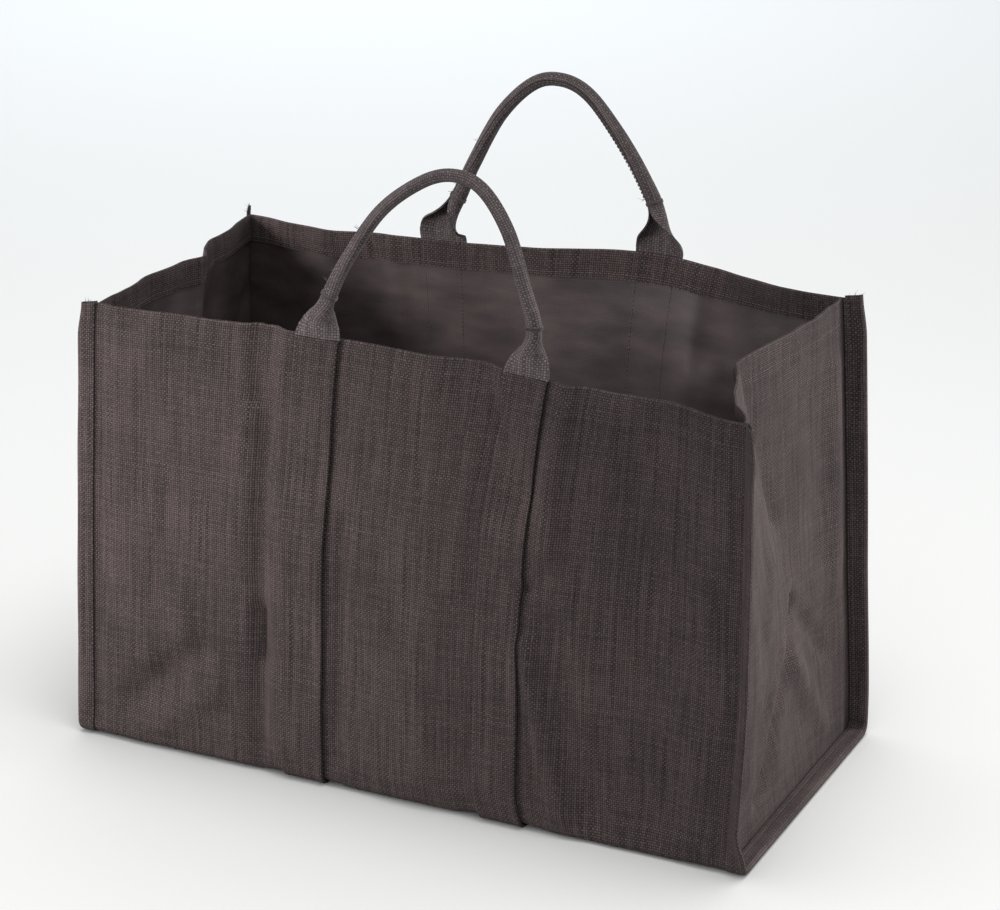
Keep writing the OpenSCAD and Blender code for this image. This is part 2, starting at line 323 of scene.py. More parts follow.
def steps(start, end, spacing=CELL):
    """Evenly spaced values from start to end, about as far apart as the spacing."""
    count = max(round(abs(end - start) / spacing), 1)
    return [start + (end - start) * i / count for i in range(count + 1)]


def u_line(inset, top=rim_z):
    """Points (y, z) down the front, under and up the back, so far inside the body cloth's outer face."""
    front, bottom, radius = inset - half_depth, base_z + inset, CORNER_R - inset
    wall_steps, corner_steps, base_steps = 78, 6, 28
    half = [(front, top + (bottom + radius - top) * i / wall_steps) for i in range(wall_steps)]
    for i in range(corner_steps):
        turn = math.pi / 2 * i / corner_steps
        half.append((front + radius - radius * math.cos(turn), bottom + radius - radius * math.sin(turn)))
    half += [((front + radius) * (1 - i / base_steps), bottom) for i in range(base_steps + 1)]
    return half + [(-y, z) for y, z in reversed(half[:-1])]


def lay_sheet(name, across, along, place, skip=lambda i, j: False):
    """A grid of cloth with a point at place(a, b) for each a in across and b in along. UVs are in metres."""
    bpy.ops.object.select_all(action="DESELECT")
    columns, rows = len(across) - 1, len(along) - 1
    bpy.ops.mesh.primitive_grid_add(x_subdivisions=columns, y_subdivisions=rows, size=1, calc_uvs=True)
    piece = bpy.context.object
    piece.name = name
    mesh = piece.data
    mesh.name = name
    cells = [(round((v.co.x + 0.5) * columns), round((v.co.y + 0.5) * rows)) for v in mesh.vertices]
    spots = {(i, j): Vector(place(a, b)) for i, a in enumerate(across) for j, b in enumerate(along)}
    widths, lengths = [0], [0]
    for i in range(columns):
        widths.append(widths[-1] + (spots[i + 1, rows // 2] - spots[i, rows // 2]).length)
    for j in range(rows):
        lengths.append(lengths[-1] + (spots[columns // 2, j + 1] - spots[columns // 2, j]).length)
    layer = mesh.uv_layers[0]
    layer.name = "cloth"
    for loop in mesh.loops:
        i, j = cells[loop.vertex_index]
        layer.data[loop.index].uv = (widths[i], lengths[j])
    for vertex, cell in zip(mesh.vertices, cells):
        vertex.co = spots[cell]
    bpy.context.tool_settings.mesh_select_mode = (False, False, True)
    bpy.ops.object.mode_set(mode="EDIT")
    bpy.ops.mesh.select_all(action="DESELECT")
    bpy.ops.object.mode_set(mode="OBJECT")
    for face in mesh.polygons:
        corner = [cells[v] for v in face.vertices]
        face.select = skip(min(i for i, j in corner), min(j for i, j in corner))
    bpy.ops.object.mode_set(mode="EDIT")
    bpy.ops.mesh.delete(type="FACE")
    bpy.ops.mesh.select_all(action="SELECT")
    bpy.ops.mesh.remove_doubles(threshold=0.01 * MM)
    bpy.ops.mesh.select_all(action="DESELECT")
    bpy.ops.object.mode_set(mode="OBJECT")
    return piece


def let_settle(piece):
    """Moves a newly sewn piece to where it lies on the standing bag."""
    for vertex in piece.data.vertices:
        vertex.co = settle(vertex.co)


def apply_modifier(piece, kind, **settings):
    """Adds a modifier to a piece and applies it."""
    bpy.ops.object.select_all(action="DESELECT")
    piece.select_set(True)
    bpy.context.view_layer.objects.active = piece
    modifier = piece.modifiers.new(kind.lower(), kind)
    for setting, value in settings.items():
        setattr(modifier, setting, value)
    bpy.ops.object.modifier_apply(modifier=modifier.name)


def give_thickness(piece, thickness, inner_slot=0):
    """Gives a cloth its thickness, about its middle surface. Its inner face can take another material."""
    apply_modifier(piece, "SOLIDIFY", thickness=thickness, offset=0, use_even_offset=True,
                   thickness_clamp=1, material_offset=inner_slot)
    bpy.ops.object.shade_smooth_by_angle(angle=math.radians(50))


MIX_FACTOR, MIX_A, MIX_B, MIX_COLOUR = 0, 6, 7, 2   # the sockets of a Mix node that mixes colours


class Wire:
    """A socket in a material's nodes. Python's operators on it add Math nodes."""

    def __init__(self, tree, socket=None):
        self.tree, self.socket = tree, socket

    def node(self, kind, settings, values, output=0):
        """Adds any node: its settings come first, and then the values or wires of its sockets."""
        made = self.tree.nodes.new("ShaderNode" + kind)
        for name, value in settings.items():
            if name == "stops":
                while len(made.color_ramp.elements) < len(value):
                    made.color_ramp.elements.new(0.5)
                for stop, (place, shade) in zip(made.color_ramp.elements, value):
                    stop.position, stop.color = place, (shade, shade, shade, 1)
            else:
                setattr(made, name, value)
        for name, value in values.items():
            if isinstance(value, Wire):
                self.tree.links.new(value.socket, made.inputs[name])
            else:
                made.inputs[name].default_value = value
        return Wire(self.tree, made.outputs[output])

    def sum(self, operation, *values):
        return self.node("Math", {"operation": operation}, dict(enumerate(values)))

    def __add__(self, other):
        return self.sum("ADD", self, other)

    def __sub__(self, other):
        return self.sum("SUBTRACT", self, other)

    def __rsub__(self, other):
        return self.sum("SUBTRACT", other, self)

    def __mul__(self, other):
        return self.sum("MULTIPLY", self, other)

    def __truediv__(self, other):
        return self.sum("DIVIDE", self, other)

    def __mod__(self, other):
        return self.sum("FLOORED_MODULO", self, other)

    def __floordiv__(self, other):
        return self.sum("FLOOR", self / other)

    def __pow__(self, other):
        return self.sum("POWER", self, other)

    def __abs__(self):
        return self.sum("ABSOLUTE", self)

    __radd__, __rmul__ = __add__, __mul__

    def point(self, x, y, z=0):
        return self.node("CombineXYZ", {}, {"X": x, "Y": y, "Z": z})

    def cloudy(self, place, scale, detail=2):
        return self.node("TexNoise", {}, {"Vector": place, "Scale": scale, "Detail": detail})

    def speckle(self, place):
        return self.node("TexWhiteNoise", {"noise_dimensions": "2D"}, {"Vector": place})

    def tint(self, factor, first, second):
        sockets = {MIX_FACTOR: factor, MIX_A: first, MIX_B: second}
        return self.node("Mix", {"data_type": "RGBA"}, sockets, MIX_COLOUR)

    def relief(self, height, distance, strength=1):
        return self.node("Bump", {}, {"Height": height, "Distance": distance, "Strength": strength})

    def surface(self, constants, **fed):
        """Ends a material with its shader. Constants go on its own sockets, and fed sockets take wires."""
        values = dict(constants)
        values.update({name.replace("_", " "): wire for name, wire in fed.items()})
        shader = self.node("BsdfPrincipled", {}, values)
        end = self.tree.nodes.new("ShaderNodeOutputMaterial")
        self.tree.links.new(shader.socket, end.inputs["Surface"])


def empty_material(name):
    """A new material with no nodes yet, and a wire to start them from."""
    material = bpy.data.materials.new(name)
    material.use_nodes = True
    material.node_tree.nodes.clear()
    return material, Wire(material.node_tree)


WARP_PITCH = 1.82 * MM                # from yarn to yarn
WEFT_PITCH = 1.92 * MM


def woven_cloth(name, gap_shade, yarn, slub):
    """Coarse plain weave. The warp is darker than the weft, and slubs of both run on for some way. Painted
    shade darkens each yarn from its crown to its sides and fills the spaces between the yarns.
    """
    material, start = empty_material(name)
    place = start.node("UVMap", {"uv_map": "cloth"}, {})
    u = start.node("SeparateXYZ", {}, {"Vector": place}, "X")
    v = start.node("SeparateXYZ", {}, {"Vector": place}, "Y")
    # Every yarn wavers a little, and passes over and under the yarns across it
    waver = start.cloudy(place, 70, 1) - 0.5
    a = u / WARP_PITCH + waver * 0.8
    b = v / WEFT_PITCH + waver * 0.6
    warp, weft = a // 1, b // 1
    across_a, across_b = abs(a % 1 * 2 - 1), abs(b % 1 * 2 - 1)
    warp_on_top = (warp + weft) % 2
    round_a, round_b = 1 - across_a ** 2, 1 - across_b ** 2
    warp_pad = round_a * (0.4 + round_b * 0.6)
    weft_pad = round_b * (0.3 + round_a * 0.7)
    height = warp_on_top * warp_pad + (1 - warp_on_top) * weft_pad
    # A yarn's tone changes along it with its slubs, from yarn to yarn, and where the cloth is worn
    warp_slubs = start.cloudy(start.point(a * 0.5, b * 0.025), 1, 3) * 2 - 0.5
    weft_slubs = start.cloudy(start.point(a * 0.045, b * 0.5), 1, 3) * 1.2 - 0.1
    warp_tone = warp_slubs * 0.62 + start.speckle(start.point(warp, 0.5)) * 0.22
    weft_tone = weft_slubs * 0.7 + warp_slubs * 0.35 + start.speckle(start.point(0.5, weft)) * 0.25
    crossing = start.speckle(start.point(warp, weft))
    worn = start.cloudy(place, 11, 4)
    # Painted highlight and shade: each yarn is painted palest on its crown and darker towards its sides, down
    # to the painted shade between the yarns
    tone = warp_on_top * warp_pad * warp_tone * 1.6 + (1 - warp_on_top) * weft_pad * weft_tone * 1.6
    shade = start.node("Clamp", {}, {"Value": tone * (0.75 + crossing * 0.5) * (0.4 + worn * 1.2)})
    colour = start.tint(shade, gap_shade, yarn)
    pale = start.node("Clamp", {}, {"Value": (crossing - 0.93) * 9 * height})
    colour = start.tint(pale * 0.5, colour, slub)
    normal = start.relief(height + warp_slubs * 0.2, 0.4 * MM, 0.8)
    finish = {"Sheen Weight": 0.06, "Sheen Roughness": 0.5, "Sheen Tint": yarn, "Specular IOR Level": 0.22}
    start.surface(finish, Base_Color=colour, Roughness=0.8 + crossing * 0.12, Normal=normal)
    return material


def laminated_film(name, dark, light):
    """The thin sealing film on the inside of the cloth: smooth, with the weave showing faintly through."""
    material, start = empty_material(name)
    place = start.node("UVMap", {"uv_map": "cloth"}, {})
    u = start.node("SeparateXYZ", {}, {"Vector": place}, "X")
    v = start.node("SeparateXYZ", {}, {"Vector": place}, "Y")
    a, b = abs(u / WARP_PITCH % 1 * 2 - 1), abs(v / WEFT_PITCH % 1 * 2 - 1)
    dimple = (1 - a ** 2) * (1 - b ** 2)
    clouds = start.cloudy(place, 14, 4)
    scuffs = start.cloudy(start.point(u * 0.4, v), 60, 3)
    shade = start.node("Clamp", {}, {"Value": dimple * 0.3 + clouds * 0.8 + (scuffs - 0.5) * 1.2 - 0.14})
    colour = start.tint(shade, dark, light)
    normal = start.relief(dimple * 0.4 + clouds + scuffs * 0.5, 0.3 * MM, 0.6)
    start.surface({"Specular IOR Level": 0.4},
                  Base_Color=colour, Roughness=0.42 + clouds * 0.2, Normal=normal)
    return material


# The colour down between the yarns is painted shade, standing in for the shade that falls into the weave's
# gaps
GAP_SHADE_COLOUR = (0.005, 0.0036, 0.0036, 1)          # down between the yarns
SLUB_COLOUR = (0.12, 0.092, 0.09, 1)             # of the few palest yarns
cloth_weave = woven_cloth("woven_cloth", GAP_SHADE_COLOUR, (0.074, 0.0535, 0.0535, 1), SLUB_COLOUR)
inner_film = laminated_film("inner_film", (0.02, 0.0145, 0.015, 1), (0.078, 0.057, 0.058, 1))

fold_z = rim_z - CLOTH_T
middle_y = half_depth - CLOTH_T / 2
hem_y = middle_y - CLOTH_T
FOLD_TURNS = (45, 90, 135)            # degrees round the fold at the rim
front_hem = [(-hem_y, z) for z in steps(hem_z, fold_z)]
front_fold = [(-(hem_y + middle_y) / 2 + CLOTH_T / 2 * math.cos(math.radians(turn)),
               fold_z + CLOTH_T / 2 * math.sin(math.radians(turn))) for turn in FOLD_TURNS]
main_run = u_line(CLOTH_T / 2, fold_z)
body_run = front_hem + front_fold + main_run
body_run += [(-y, z) for y, z in reversed(front_hem + front_fold)]
first_turn = len(front_hem) + 1
inside_x = half_length - CLOTH_T
seam_columns = [seam_end, seam_end - SEAM / 3, seam_end - SEAM * 2 / 3, half_length]
body_columns = seam_columns + steps(inside_x, -inside_x) + [-x for x in reversed(seam_columns)]


def past_the_hem(column, row):
    """The hem stops at the end panels, and only the wall itself goes on into the seam."""
    in_hem = row < first_turn or row >= len(body_run) - 1 - first_turn
    in_seam = column < len(seam_columns) or column >= len(body_columns) - 1 - len(seam_columns)
    return in_hem and in_seam


body_cloth = lay_sheet("body_cloth", body_columns, body_run, lambda x, yz: (x, *yz), past_the_hem)
body_length = sum(math.dist(first, second) for first, second in zip(body_run, body_run[1:]))
hem_cut = 4 * (seam_end - inside_x) * (rim_z - hem_z)
let_settle(body_cloth)
body_cloth.data.materials.append(cloth_weave)
body_cloth.data.materials.append(inner_film)
give_thickness(body_cloth, CLOTH_T, inner_slot=1)
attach(body_cloth, "bag")
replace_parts(body_cloth, "body_panel")
2 * seam_end * body_length - hem_cut

# ---- The end panels ----
# Each end is one piece of the same cloth. Its rim is turned in like the body's, and its other three
# edges are turned out against the body cloth's edges and sewn to them.
end_middle_x = half_length - CLOTH_T / 2
root_y = half_depth - CLOTH_T * 1.5
root_z = base_z + CLOTH_T * 1.5
turn_out = steps(SEAM, 0)[:-1]
end_hem = [("hem", z) for z in steps(hem_z, fold_z)]
end_fold = [("fold", turn) for turn in FOLD_TURNS]
end_rows = end_hem + end_fold + [("wall", z) for z in steps(fold_z, root_z)]
end_rows += [("seam", out) for out in reversed(turn_out)]
end_columns = [("seam", out, 1) for out in turn_out] + [("wall", y, 0) for y in steps(root_y, -root_y)]
end_columns += [("seam", out, -1) for out in reversed(turn_out)]
root_r = CORNER_R - CLOTH_T * 1.5


def end_place(column, row):
    """A point of the right end panel, as it is sewn."""
    y = column[1] if column[0] == "wall" else column[2] * root_y
    out = column[1] if column[0] == "seam" else 0
    if row[0] in ("hem", "fold"):
        y = min(max(y, CLOTH_T / 2 - root_y), root_y - CLOTH_T / 2)
    if row[0] == "hem":
        return end_middle_x - CLOTH_T, y, row[1]
    if row[0] == "fold":
        turn = math.radians(row[1])
        return (end_middle_x - CLOTH_T / 2 - CLOTH_T / 2 * math.cos(turn), y,
                fold_z + CLOTH_T / 2 * math.sin(turn))
    z = row[1] if row[0] == "wall" else root_z
    out = max(out, row[1] if row[0] == "seam" else 0)
    in_y, in_z = abs(y) - (root_y - root_r), root_z + root_r - z
    if in_y > 0 and in_z > 0:
        rounding = max(in_y, in_z) / math.hypot(in_y, in_z)
        y = math.copysign(root_y - root_r + in_y * rounding, y)
        z = root_z + root_r - in_z * rounding
    return end_middle_x + out + (CLOTH_T / 2 if out else 0), y, z


def off_the_panel(column, row):
    """The corners between two turned-out edges, and the hem past the panel's sides, are cut away."""
    beside = column < len(turn_out) or column >= len(end_columns) - 1 - len(turn_out)
    in_hem = row < len(end_hem) + len(end_fold)
    return beside and (in_hem or row >= len(end_rows) - 1 - len(turn_out))


def end_panel(name, side):
    """One end panel, for the right (+1) or the left (-1)."""
    columns = end_columns if side > 0 else list(reversed(end_columns))
    panel = lay_sheet(name, columns, end_rows, lambda a, b: Vector(end_place(a, b)) * Vector((side, 1, 1)),
                      off_the_panel)
    let_settle(panel)
    panel.data.materials.append(cloth_weave)
    panel.data.materials.append(inner_film)
    give_thickness(panel, CLOTH_T, inner_slot=1)
    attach(panel, "bag")
    return panel


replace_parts(end_panel("right_end_cloth", 1), "right_end_panel")
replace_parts(end_panel("left_end_cloth", -1), "left_end_panel")

# ---- The binding tapes ----
# A narrow strip of the same cloth is folded over each seam's raw edges and sewn through: it runs
# down one corner, along the base and up the other corner. Its cut ends fray a little at the rim.
TAPE_T = 1 * MM
tape_low, tape_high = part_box("right_binding")
tape_start = tape_low.x
tape_fold_r = CLOTH_T + TAPE_T / 2
tape_leg_end = tape_high.x - TAPE_T / 2 - tape_fold_r
tape_leg = steps(tape_start, tape_leg_end, 4 * MM)
tape_outside, tape_inside = -TAPE_T / 2, 2 * CLOTH_T + TAPE_T / 2
tape_profile = [(x, tape_inside) for x in tape_leg]
tape_profile += [(tape_leg_end + tape_fold_r * math.sin(math.radians(turn)),
                  CLOTH_T + tape_fold_r * math.cos(math.radians(turn))) for turn in range(30, 180, 30)]
tape_profile += [(x, tape_outside) for x in reversed(tape_leg)]
tape_lines = {inset: u_line(inset) for x, inset in tape_profile}
stations = range(len(main_run))       # the points of a line down the front, under and up the back
tape_weave = woven_cloth("binding_cloth", GAP_SHADE_COLOUR, (0.084, 0.061, 0.061, 1), (0.13, 0.1, 0.098, 1))


def binding(name, side, node):
    """The tape around one end's seam, for the right (+1) or the left (-1)."""
    profile = tape_profile if side > 0 else list(reversed(tape_profile))
    tape = lay_sheet(name, profile, stations, lambda spot, k: (side * spot[0], *tape_lines[spot[1]][k]))
    let_settle(tape)
    tape.data.materials.append(tape_weave)
    give_thickness(tape, TAPE_T)
    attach(tape, "bag")
    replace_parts(tape, node)


binding("right_binding_tape", 1, "right_binding")
binding("left_binding_tape", -1, "left_binding")

# ---- The straps ----
# Each strap is the same cloth folded to a flat band and sewn down along both edges: it runs up the
# front, under the base and up the back. The edge nearer the right end stands a little off the wall.
STRAP_T = 3 * MM
BAND_START = rim_z - 2 * MM           # where the flat strap ends and its handle begins
EDGE_LIFT = 0.9 * MM                  # how far that edge stands off
strap_edge = strap_half - STRAP_T / 2
strap_turns = (-60, -30, 0, 30, 60)   # degrees round each folded edge
strap_loop = [(x, -STRAP_T) for x in steps(-strap_edge, strap_edge, 4.5 * MM)]
strap_loop += [(strap_edge + STRAP_T / 2 * math.cos(math.radians(turn)),
                -STRAP_T / 2 + STRAP_T / 2 * math.sin(math.radians(turn))) for turn in strap_turns]
strap_loop += [(x, 0) for x in steps(strap_edge, -strap_edge, 9 * MM)]
strap_loop += [(-strap_edge - STRAP_T / 2 * math.cos(math.radians(turn)),
                -STRAP_T / 2 - STRAP_T / 2 * math.sin(math.radians(turn))) for turn in strap_turns]
strap_loop = [(x, inset - EDGE_LIFT * smooth((x / strap_half - 0.55) / 0.45)) for x, inset in strap_loop]
strap_loop.append(strap_loop[0])
strap_lines = {inset: u_line(inset, BAND_START) for x, inset in strap_loop}
strap_weave = woven_cloth("strap_cloth", GAP_SHADE_COLOUR, (0.076, 0.055, 0.055, 1), SLUB_COLOUR)


def close_ends(piece):
    """Fills the open ends of a tube and turns its faces outwards."""
    bpy.ops.object.select_all(action="DESELECT")
    piece.select_set(True)
    bpy.context.view_layer.objects.active = piece
    bpy.ops.object.mode_set(mode="EDIT")
    bpy.ops.mesh.select_all(action="SELECT")
    bpy.ops.mesh.fill_holes(sides=0)
    bpy.ops.mesh.select_all(action="SELECT")
    bpy.ops.mesh.normals_make_consistent(inside=False)
    bpy.ops.mesh.select_all(action="DESELECT")
    bpy.ops.object.mode_set(mode="OBJECT")
    bpy.ops.object.shade_smooth_by_angle(angle=math.radians(50))


def strap(name, side, node):
    """One strap, from the rim at the front to the rim at the back."""
    def place(spot, k):
        y, z = strap_lines[spot[1]][k]
        return side * strap_x + spot[0], y, max(z, 0)

    webbing = lay_sheet(name, strap_loop, stations, place)
    let_settle(webbing)
    webbing.data.materials.append(strap_weave)
    close_ends(webbing)
    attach(webbing, "bag")
    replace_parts(webbing, node)


strap("left_strap_band", -1, "left_strap")
strap("right_strap_band", 1, "right_strap")

# ---- The handles ----
# Above the rim each strap curls lengthwise into a round grip that goes over to the other strap. Its
# edges meet on the side towards the bag's inside, and are sewn together around a piece of rope.
GRIP_R = 5.3 * MM                     # to the middle of the rolled cloth
GRIP_T = 2.6 * MM                     # thickness of the rolled cloth
GRIP_WIDTH = {-1: 1, 1: 1.14}         # its width in the plane of the arch, as a share of the round one's
FLARE = {-1: 38 * MM, 1: 46 * MM}      # the length over which the flat strap rolls up, front and back
CURL_DELAY = {-1: 1, 1: 1.22}         # how late the rolling starts in that length
TWIST = math.radians(62)              # how far the seam is turned from the inside towards the left
STATION = 3 * MM
# The middle line of each grip between its bar tacks, as (x, y, z) in millimetres
FRONT_ROUTE = ((-71, -139, 438), (-56, -140, 469), (-24, -141, 517), (12, -141, 546), (40, -141, 555),
               (65, -142, 547), (87, -142, 516), (102, -142, 471), (111, -142, 441))
BACK_ROUTE = ((-86, 148, 447), (-72, 149, 479), (-48, 151, 525), (-19, 153, 555), (7, 154, 561.5),
              (32, 156, 551), (59, 158, 520), (82, 160, 485), (97, 161, 453))


def grip_line(route, face):
    """Stations along a handle, each with its place on the outer face, the ways along the handle, into
    its arch and off the wall, how far along it is, and the handle's whole run."""
    wall = face * (half_depth + STRAP_T / 2)
    off_wall = Vector((0, face, 0))
    feet = [settle((-strap_x, wall, BAND_START)), settle((-strap_x, wall, BAND_START + 14 * MM))]
    feet += [Vector(point) * MM + off_wall * GRIP_R for point in route]
    feet += [settle((strap_x, wall, BAND_START + 14 * MM)), settle((strap_x, wall, BAND_START))]
    points = [2 * feet[0] - feet[1]] + feet + [2 * feet[-1] - feet[-2]]
    fine = []
    for p0, p1, p2, p3 in zip(points, points[1:], points[2:], points[3:]):
        for i in range(16):
            t = i / 16
            fine.append((2 * p1 + (p2 - p0) * t + (2 * p0 - 5 * p1 + 4 * p2 - p3) * t ** 2
                         + (3 * p1 - p0 - 3 * p2 + p3) * t ** 3) / 2)
    fine.append(feet[-1])
    runs = [0]
    for first, second in zip(fine, fine[1:]):
        runs.append(runs[-1] + (second - first).length)
    line = []
    for run in steps(0, runs[-1], STATION):
        k = min(max(sum(1 for r in runs if r <= run) - 1, 0), len(fine) - 2)
        share = (run - runs[k]) / (runs[k + 1] - runs[k])
        spot = fine[k].lerp(fine[k + 1], share)
        before, after = fine[max(k - 4, 0)], fine[min(k + 5, len(fine) - 1)]
        along = (after - before).normalized()
        out = (off_wall - along * off_wall.dot(along)).normalized()
        line.append((spot, along, along.cross(out) * -face, out, run, runs[-1]))
    return line


def squeeze(station, face):
    """How far a grip is out of round at a station: its width in the arch's plane and across it, as shares."""
    run, total = station[4:]
    pinch = hump(min(run, total - run), FLARE[face] + 3 * MM, 15 * MM)
    apex = math.sin(math.pi * run / total) ** 2
    return GRIP_WIDTH[face] + 0.14 * pinch - 0.14 * apex, 1 - 0.16 * pinch


def band_point(station, across, face, lift=0):
    """A point of the rolled band, at a share across it from -0.5 to 0.5, lifted off its middle surface."""
    spot, _, inward, out, run, total = station
    near, flare = min(run, total - run), FLARE[face]
    share = min(near / flare, 1)
    curl = 0.985 * (share ** CURL_DELAY[face] * 1.25 - 0.25 * share ** 5) + 0.001
    width = 2 * strap_half * (1 - curl) + 2 * math.pi * GRIP_R * curl
    turn = 2 * math.pi * curl
    radius = width / turn
    twist = TWIST * math.cos(math.pi * run / total) ** 3 * smooth((near - 0.4 * flare) / (0.6 * flare))
    wide, deep = squeeze(station, face)
    angle = across * turn + twist
    rolled = spot + out * (radius * (math.cos(angle) - 1) * deep)
    rolled += inward * (radius * math.sin(angle) * wide)
    rolled += (out * math.cos(angle) + inward * math.sin(angle)) * lift
    left = run < total / 2
    x = (-strap_x if left else strap_x) + (1 if left else -1) * across * 2 * strap_half
    flat = settle((x, face * (half_depth + STRAP_T / 2 + lift), BAND_START + near))
    return flat.lerp(rolled, 1 - max(1 - near / (0.6 * flare), 0) ** 2)


def grip_centre(station, face):
    """The middle of the rolled grip at a station, and how far it is squeezed each way."""
    wide, deep = squeeze(station, face)
    return station[0] - station[3] * GRIP_R * deep, wide, deep


def from_to(line, low, high):
    """The stations of a handle that are at least so far from both of its feet."""
    return [station for station in line if low <= station[4] <= station[5] - high]


front_line, back_line = grip_line(FRONT_ROUTE, -1), grip_line(BACK_ROUTE, 1)
band_across = steps(-0.5, 0.5, 0.04)


def rope_yarns(name, dark, light):
    """A natural three-strand rope with fine hairy yarns."""
    material, start = empty_material(name)
    place = start.node("TexCoord", {}, {}, "Object")
    hairs = start.cloudy(place, 900, 3)
    worn = start.cloudy(place, 60, 3)
    shade = start.node("Clamp", {}, {"Value": hairs * 0.8 + (worn - 0.5) * 0.8 + 0.1})
    colour = start.tint(shade, dark, light)
    start.surface({"Specular IOR Level": 0.3}, Base_Color=colour, Roughness=0.75 + hairs * 0.15,
                  Normal=start.relief(hairs, 0.3 * MM, 0.8))
    return material


# The handles are the straps' own cloth, but their yarn is painted paler as painted light for the light from
# above on the arches, and the spaces between their yarns hold painted shade
handle_weave_painted_light = woven_cloth("handle_cloth_painted_light", (0.02, 0.0155, 0.0155, 1), (0.128, 0.104, 0.108, 1),
                           (0.155, 0.128, 0.132, 1))
ROPE_R = 3.3 * MM                     # down in the grooves between its three strands
ROPE_LAY = 7 * MM
ROPE_SIDES = 18
rope_fibre = rope_yarns("rope_fibre", (0.16, 0.11, 0.06, 1), (0.5, 0.4, 0.27, 1))


def handle(name, line, face):
    """One handle's rolled cloth and the rope in it."""
    across = band_across if face < 0 else list(reversed(band_across))
    grip = lay_sheet(name + "_grip", across, line, lambda share, station: band_point(station, share, face))
    grip.data.materials.append(handle_weave_painted_light)
    give_thickness(grip, GRIP_T)
    fold = max(band_point(line[end], 0, face).z for end in (0, -1)) + 2 * MM
    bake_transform(grip)
    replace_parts(grip, *(f"{name}_{part}" for part in ("left_flare", "right_flare", "sleeve")))

    def rope_point(angle, station):
        centre, wide, deep = grip_centre(station, face)
        lay = angle * 1.5 - station[4] / ROPE_LAY
        radius = ROPE_R + 0.45 * MM * abs(math.cos(lay))
        off_centre = station[3] * radius * math.cos(angle) * deep
        return centre + off_centre + station[2] * radius * math.sin(angle) * wide

    angles = [math.tau * i / ROPE_SIDES for i in range(ROPE_SIDES)] + [0]
    rope_start = FLARE[face] - 5 * MM
    rope = lay_sheet(name + "_rope", angles, from_to(line, rope_start, rope_start), rope_point)
    rope.data.materials.append(rope_fibre)
    close_ends(rope)
    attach(rope, name)
    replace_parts(rope, name + "_core")


handle("front_handle", front_line, -1)
handle("back_handle", back_line, 1)

# ---- The stitching ----
# Every seam is sewn with strong dark thread in single short stitches, and each end of a grip is
# wound round with it. One stitch is a small rounded lozenge that lies half in the cloth.
STITCH_PITCH = 3.8 * MM
STITCH_SIZE = Vector((2.9, 0.85, 0.9)) * MM
STITCH_INSET = 4 * MM                 # from a row of stitches to the edge that it holds
WINDINGS = 4                          # turns of thread round each end of a grip
WINDING_PITCH = 0.75 * MM
SEAM_AT = 0.41                        # where a grip's seam is sewn, as a share across the rolled band

bpy.ops.object.select_all(action="DESELECT")
bpy.ops.mesh.primitive_uv_sphere_add(segments=6, ring_count=4, radius=0.5)
one_stitch = bpy.context.object
bpy.ops.object.mode_set(mode="EDIT")
bpy.ops.mesh.select_all(action="SELECT")
bpy.ops.transform.rotate(value=math.pi / 2, orient_axis="Y", center_override=(0, 0, 0))
bpy.ops.transform.resize(value=STITCH_SIZE, center_override=(0, 0, 0))
bpy.ops.object.mode_set(mode="OBJECT")
stitch_points = [vertex.co.copy() for vertex in one_stitch.data.vertices]
stitch_faces = [tuple(face.vertices) for face in one_stitch.data.polygons]
bpy.data.objects.remove(one_stitch)


def sewing_thread(name, dark, light):
    """Dark twisted thread with a dull lustre."""
    material, start = empty_material(name)
    place = start.node("TexCoord", {}, {}, "Object")
    twist = start.cloudy(place, 1500, 2)
    worn = start.cloudy(place, 40, 2)
    shade = start.node("Clamp", {}, {"Value": twist * 0.8 + (worn - 0.5) * 0.9 + 0.1})
    colour = start.tint(shade, dark, light)
    start.surface({"Specular IOR Level": 0.4}, Base_Color=colour, Roughness=0.5 + twist * 0.2,
                  Normal=start.relief(twist, 0.15 * MM, 0.7))
    return material


dark_thread = sewing_thread("dark_thread", (0.018, 0.0135, 0.014, 1), (0.075, 0.058, 0.06, 1))


def new_piece(name, points, faces, material):
    """A piece made of many small copies."""
    mesh = bpy.data.meshes.new(name)
    mesh.from_pydata(points, [], faces)
    piece = bpy.data.objects.new(name, mesh)
    bpy.context.collection.objects.link(piece)
    piece.data.materials.append(material)
    mesh.shade_smooth()
    return piece


def sew(name, seams, body, node, settled=True):
    """Rows of stitches, each along a line of points and with a rule for the way its stitches face."""
    points, faces = [], []
    for line, facing in seams:
        line = [Vector(point) for point in line]
        to_next = STITCH_PITCH / 2
        for first, second in zip(line, line[1:]):
            step = (second - first).length
            while to_next <= step and step > 0:
                along = (second - first) / step
                centre = first + along * to_next
                out = facing(along, centre)
                out = (out - along * out.dot(along)).normalized()
                beside = out.cross(along)
                start = len(points)
                points += [centre + along * p.x + beside * p.y + out * p.z for p in stitch_points]
                faces += [tuple(start + corner for corner in face) for face in stitch_faces]
                to_next += STITCH_PITCH
            to_next -= step
    piece = new_piece(name, points, faces, dark_thread)
    if settled:
        let_settle(piece)
    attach(piece, body)
    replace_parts(piece, node)


along_x = Vector((1, 0, 0))


def outwards(along, spot):
    """Off the outside of a wall, for a row down the front, back along the base and up the back."""
    return along.cross(along_x)


def inwards(along, spot):
    """Off the inside of a wall, for the same kind of row."""
    return -along.cross(along_x)


def u_row(x, inset, top):
    """A row that runs down the front, along the base and up the back."""
    return [(x, y, z) for y, z in u_line(inset, top)]


